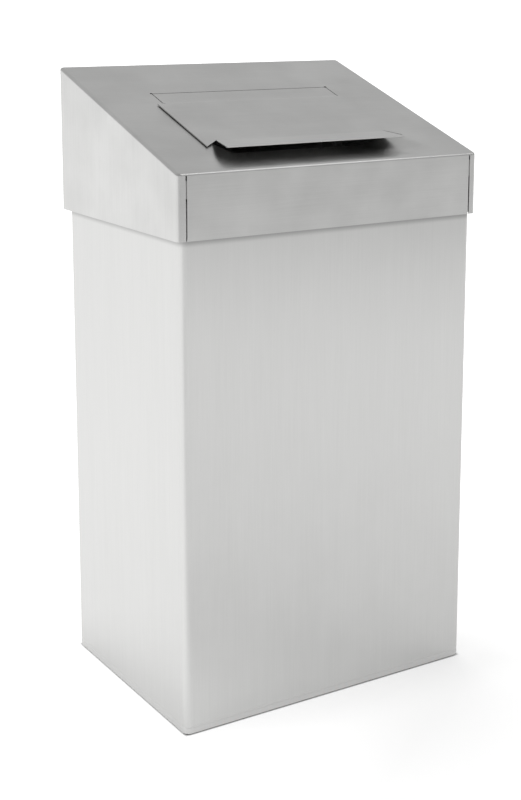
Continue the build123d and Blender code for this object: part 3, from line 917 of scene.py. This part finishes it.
class BuildHood(bpy.types.Operator):
    """Builds the hood's folded sheet with its scoop"""

    bl_idname = "waste_bin.build_hood"
    bl_label = "Build the hood"

    def execute(self, context):
        scene = context.scene
        finish = scene.waste_bin_finishes
        steel = brushed_steel(
            "stainless_brushed_across",
            finish.hood_light,
            finish.hood_dark,
            finish.hood_cloudiness,
            across_top=True,
        )
        build_hood(scene.waste_bin_hood, scene.waste_bin_opening, scene.waste_bin_scoop, steel)
        return {"FINISHED"}


class BuildFlap(bpy.types.Operator):
    """Builds the flap's sheet with its lip and rolled knuckle"""

    bl_idname = "waste_bin.build_flap"
    bl_label = "Build the flap"

    def execute(self, context):
        scene = context.scene
        steel = bpy.data.materials["stainless_brushed_across"]
        build_flap(scene.waste_bin_hood, scene.waste_bin_flap, steel)
        return {"FINISHED"}


class BuildFeet(bpy.types.Operator):
    """Builds the four rubber feet"""

    bl_idname = "waste_bin.build_feet"
    bl_label = "Build the feet"

    def execute(self, context):
        finish = context.scene.waste_bin_finishes
        rubber = moulded_rubber("moulded_rubber_black", finish.rubber_light, finish.rubber_dark)
        for name in RUBBER_FEET:
            build_foot(name, context.scene.waste_bin_foot, rubber)
        paint_nodes(RUBBER_TRIM, rubber)
        return {"FINISHED"}


class FinishInside(bpy.types.Operator):
    """Gives the inner sheets, the hinge rod and the fasteners their finishes"""

    bl_idname = "waste_bin.finish_inside"
    bl_label = "Finish the inside"

    def execute(self, context):
        finish = context.scene.waste_bin_finishes
        steel = mill_steel("stainless_mill_finish", finish.inner_light, finish.inner_dark)
        zinc = zinc_plate("zinc_plated_steel", finish.zinc_light, finish.zinc_dark)
        others = {*REPLACED_NODES, *RUBBER_TRIM, *ZINC_PIECES}
        paint_nodes(sorted(set(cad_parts) - others), steel)
        paint_nodes(ZINC_PIECES, zinc)
        return {"FINISHED"}


class BuildStage(bpy.types.Operator):
    """Sets up the pale floor, the soft light and the camera"""

    bl_idname = "waste_bin.build_stage"
    bl_label = "Build the stage"

    def execute(self, context):
        scene = context.scene
        studio = scene.waste_bin_studio
        half = studio.floor_size / 2
        corners = [(-half, -half, 0), (half, -half, 0), (half, half, 0), (-half, half, 0)]
        mesh = bpy.data.meshes.new("floor")
        mesh.from_pydata(corners, [], [(0, 1, 2, 3)])
        floor = bpy.data.objects.new("floor", mesh)
        scene.collection.objects.link(floor)
        glows = (
            studio.glow_far,
            studio.glow_front,
            studio.glow_near,
            studio.glow_near,
            studio.glow_side,
            studio.glow_rear,
        )
        paper = matt_paper(
            "studio_paper_matt",
            studio.floor_colour,
            list(zip(GLOW_PLACES, glows)),
            studio.contact_shadow_glow,
            studio.contact_shadow_reach,
        )
        mesh.materials.append(paper)

        world = bpy.data.worlds.new("soft_studio")
        world.use_nodes = True
        world.node_tree.nodes.clear()
        tree = world.node_tree
        texture = add_node(tree, "ShaderNodeTexCoord")
        towards = add_node(tree, "ShaderNodeSeparateXYZ", {"Vector": texture.outputs["Generated"]})
        depth = add_node(
            tree,
            "ShaderNodeMapRange",
            {
                "Value": towards.outputs["Y"],
                "From Min": -1.0,
                "To Min": studio.sky_front,
                "To Max": studio.sky_rear,
            },
        )
        edge = add_node(
            tree,
            "ShaderNodeMapRange",
            {
                "Value": towards.outputs["Y"],
                "From Min": -1.0,
                "To Min": studio.horizon_front,
                "To Max": studio.horizon_rear,
            },
        )
        level = add_node(
            tree,
            "ShaderNodeMapRange",
            {
                "Value": towards.outputs["Z"],
                "From Min": HORIZON_FADE[0],
                "From Max": HORIZON_FADE[1],
                "To Min": edge.outputs["Result"],
                "To Max": depth.outputs["Result"],
            },
        )
        sky = add_node(
            tree,
            "ShaderNodeBackground",
            {"Color": linear("#FFFFFF"), "Strength": level.outputs["Result"]},
        )
        surface = add_node(tree, "ShaderNodeOutputWorld")
        tree.links.new(sky.outputs["Background"], surface.inputs["Surface"])
        scene.world = world

        sun = bpy.data.lights.new("key_light", "SUN")
        sun.energy = studio.key
        sun.angle = studio.key_spread
        key = bpy.data.objects.new("key_light", sun)
        key.rotation_euler = (-studio.key_back, -studio.key_left, 0)
        key.visible_glossy = False
        scene.collection.objects.link(key)

        panel = bpy.data.lights.new("bend_light", "AREA")
        panel.shape = "RECTANGLE"
        panel.size, panel.size_y = studio.bend_width, studio.bend_depth
        panel.energy = studio.bend_power
        bend = bpy.data.objects.new("bend_light", panel)
        bend.location = studio.bend_place
        looking = Vector(studio.bend_aim) - bend.location
        bend.rotation_euler = looking.to_track_quat("-Z", "Y").to_euler()
        scene.collection.objects.link(bend)

        lens = bpy.data.cameras.new("photo_view")
        lens.lens = studio.camera_lens
        lens.shift_y = -studio.camera_shift
        camera = bpy.data.objects.new("photo_view", lens)
        camera.location = studio.camera_place
        camera.rotation_euler = (np.pi / 2 - studio.camera_tilt, 0, -studio.camera_turn)
        scene.collection.objects.link(camera)
        scene.camera = camera
        scene.view_settings.view_transform = "Standard"
        return {"FINISHED"}


class WasteBinPanel(bpy.types.Panel):
    """Lists the waste bin's sizes and steps"""

    bl_idname = "VIEW3D_PT_waste_bin"
    bl_label = "Waste Bin"
    bl_space_type = "VIEW_3D"
    bl_region_type = "UI"
    bl_category = "Waste Bin"

    def draw(self, context):
        for step in STEPS:
            self.layout.operator(step.bl_idname)
        for owner, group in GROUPS.items():
            box = self.layout.box()
            settings = getattr(context.scene, owner)
            for name in group.__annotations__:
                box.prop(settings, name)


GROUPS = {
    "waste_bin_body": BodySizes,
    "waste_bin_hood": HoodSizes,
    "waste_bin_opening": OpeningSizes,
    "waste_bin_scoop": ScoopSizes,
    "waste_bin_flap": FlapSizes,
    "waste_bin_foot": FootSizes,
    "waste_bin_finishes": Finishes,
    "waste_bin_studio": Studio,
}
STEPS = (BuildBody, BuildHood, BuildFlap, BuildFeet, FinishInside, BuildStage)


def register():
    for group in (*GROUPS.values(), *STEPS, WasteBinPanel):
        bpy.utils.register_class(group)
    for owner, group in GROUPS.items():
        setattr(bpy.types.Scene, owner, bpy.props.PointerProperty(type=group))


def unregister():
    for owner in GROUPS:
        delattr(bpy.types.Scene, owner)
    for group in reversed((*GROUPS.values(), *STEPS, WasteBinPanel)):
        bpy.utils.unregister_class(group)


def main():
    """Registers the classes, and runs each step."""
    register()
    bpy.ops.waste_bin.build_body()
    bpy.ops.waste_bin.build_hood()
    bpy.ops.waste_bin.build_flap()
    bpy.ops.waste_bin.build_feet()
    bpy.ops.waste_bin.finish_inside()
    bpy.ops.waste_bin.build_stage()


if __name__ == "__main__":
    main()
